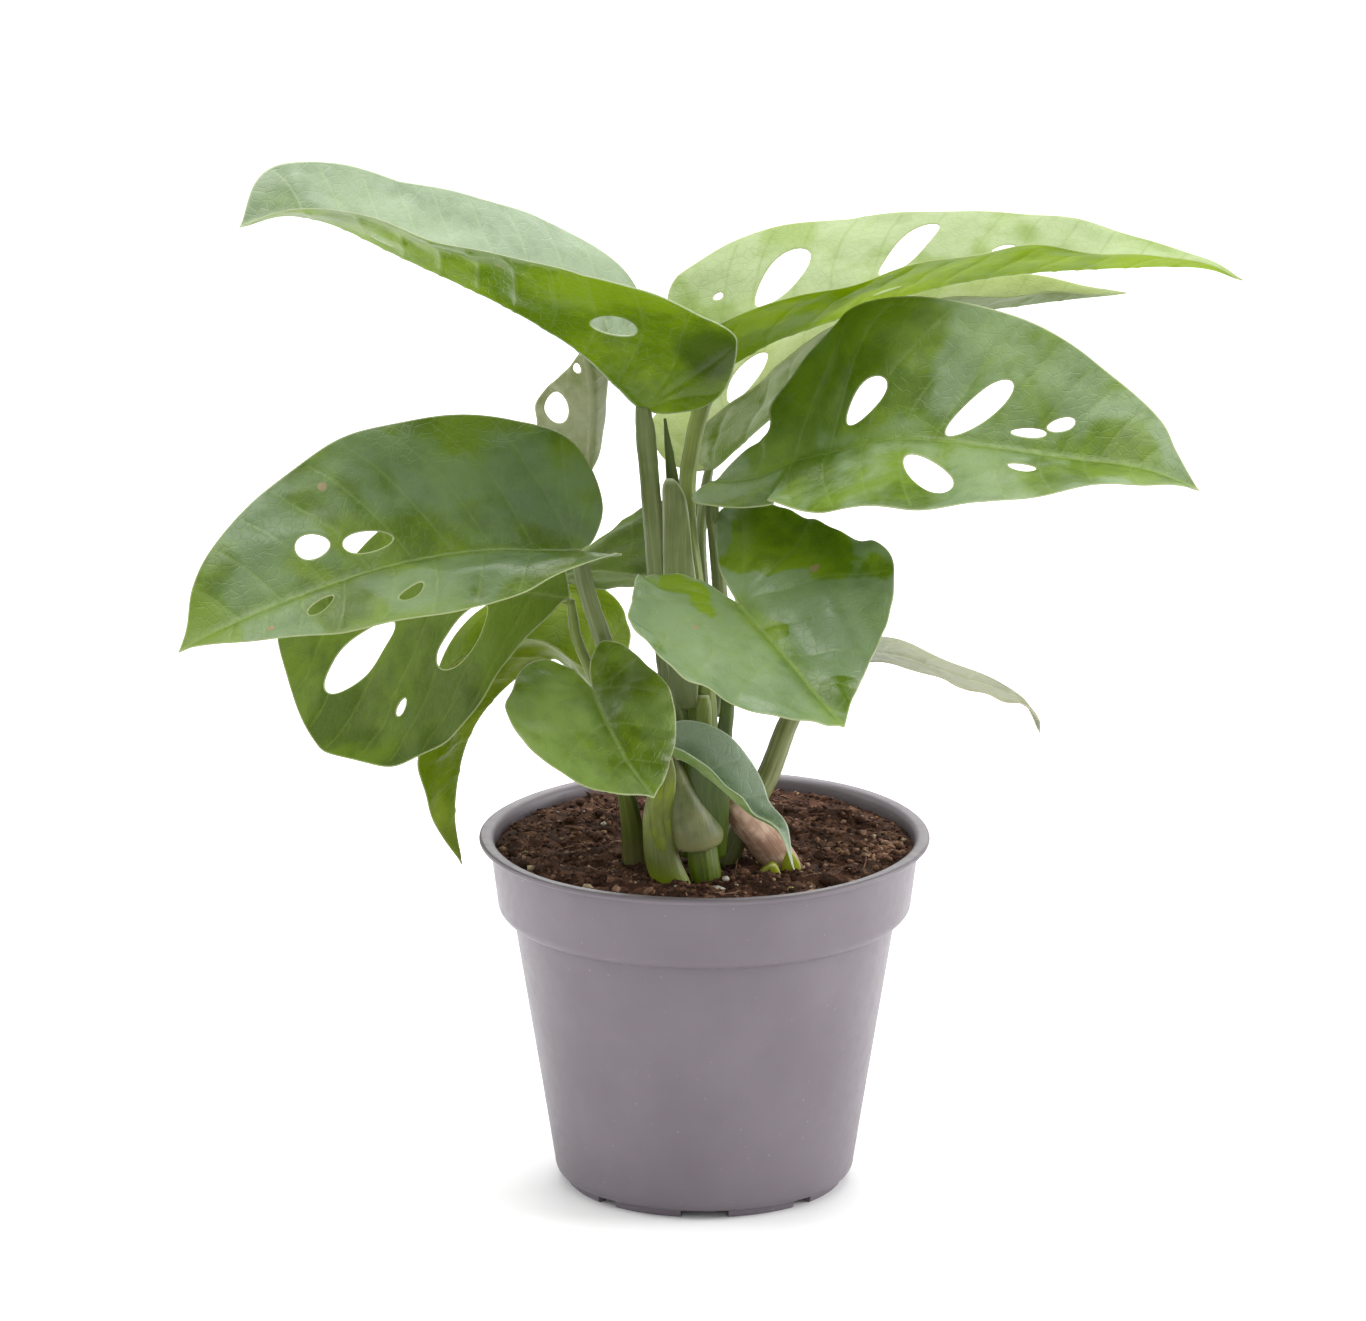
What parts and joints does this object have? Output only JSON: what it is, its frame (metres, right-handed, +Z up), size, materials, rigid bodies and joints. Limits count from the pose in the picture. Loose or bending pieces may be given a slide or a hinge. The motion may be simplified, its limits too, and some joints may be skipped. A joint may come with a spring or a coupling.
{
  "type": "potted swiss cheese vine",
  "caption": "Young swiss cheese vine with holed heart-shaped leaves on long stalks, rooted in potting mix in a small grey plastic nursery pot.",
  "frame": {"origin": "centre of the pot's footprint, on the plane that its feet stand on", "axes": "+Z up along the pot's axis; +Y away from the front, +X to the right as the plant is seen from the front"},
  "size_m": [0.2803, 0.1561, 0.29],
  "materials": {
    "pot": "satin warm grey moulded polypropylene with fine pale flecks",
    "soil": "matte crumbly dark peat and bark mix with pale grains",
    "leaf": "waxy mid green, cooler sheen above, brighter yellow-green where light comes through",
    "young_leaf": "waxy soft green of a young leaf",
    "petiole": "smooth satin grey-green with paler edges",
    "stem": "smooth satin olive green",
    "sheath": "dull grey-green with a pale foot",
    "dried_sheath": "papery pale grey-tan",
    "old_stem": "matte pinkish brown bark",
    "stub": "yellow-green cut stalk"
  },
  "bodies": {
    "root": {"pot": "pot", "soil": "soil", "main_stem": "stem", "stem_sheath": "sheath", "dried_sheath": "dried_sheath", "old_stem": "old_stem", "old_petiole_stub": "stub", "spear": "young_leaf", "petiole_upper_left": "petiole", "petiole_upper_right": "petiole", "petiole_back_right": "petiole", "petiole_right": "petiole", "petiole_front": "petiole", "petiole_left": "petiole", "petiole_under_left": "petiole", "petiole_hanging": "petiole", "petiole_small_front": "petiole", "petiole_young": "petiole", "petiole_low_right": "petiole", "petiole_back_pale": "petiole", "petiole_back_mid": "petiole", "blade_upper_left": "leaf", "blade_upper_right": "leaf", "blade_back_right": "leaf", "blade_right": "leaf", "blade_front": "leaf", "blade_left": "leaf", "blade_under_left": "leaf", "blade_hanging": "leaf", "blade_small_front": "leaf", "blade_young": "young_leaf", "blade_low_right": "leaf", "blade_back_pale": "leaf", "blade_back_mid": "leaf"}
  },
  "joints": []
}
